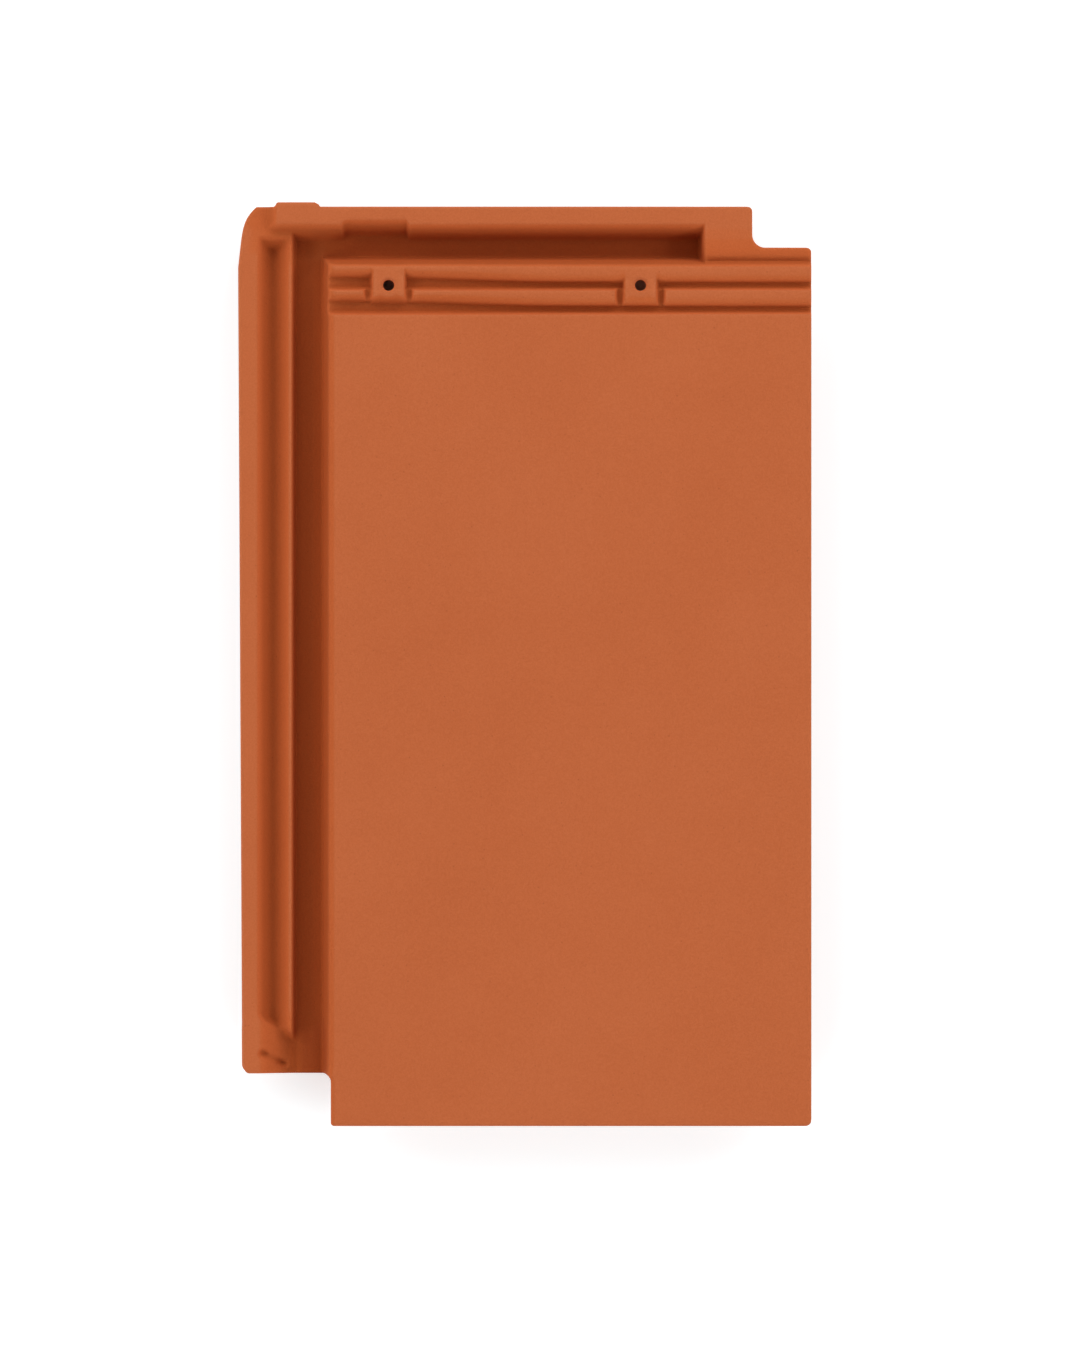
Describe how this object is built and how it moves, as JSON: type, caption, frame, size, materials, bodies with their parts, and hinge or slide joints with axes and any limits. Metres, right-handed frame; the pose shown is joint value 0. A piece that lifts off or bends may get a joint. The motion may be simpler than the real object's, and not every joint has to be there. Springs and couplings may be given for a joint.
{
  "type": "interlocking clay roof tile",
  "caption": "Flat fired-clay roof tile with a water-channel side lock, a cover flange, a ribbed head lock, a nosed foot and batten nibs, laid in overlapping courses.",
  "frame": {"origin": "centre of the bounding box in plan, on the bed plane under the batten nibs and the foot rib", "axes": "+X across to the cover flange, +Y along the tile to its head (upslope), +Z out of the weather face"},
  "size_m": [0.2873, 0.4622, 0.036],
  "materials": {
    "fired_clay": "matte, unglazed"
  },
  "bodies": {
    "root": {"roof_tile": "fired_clay"}
  },
  "joints": []
}
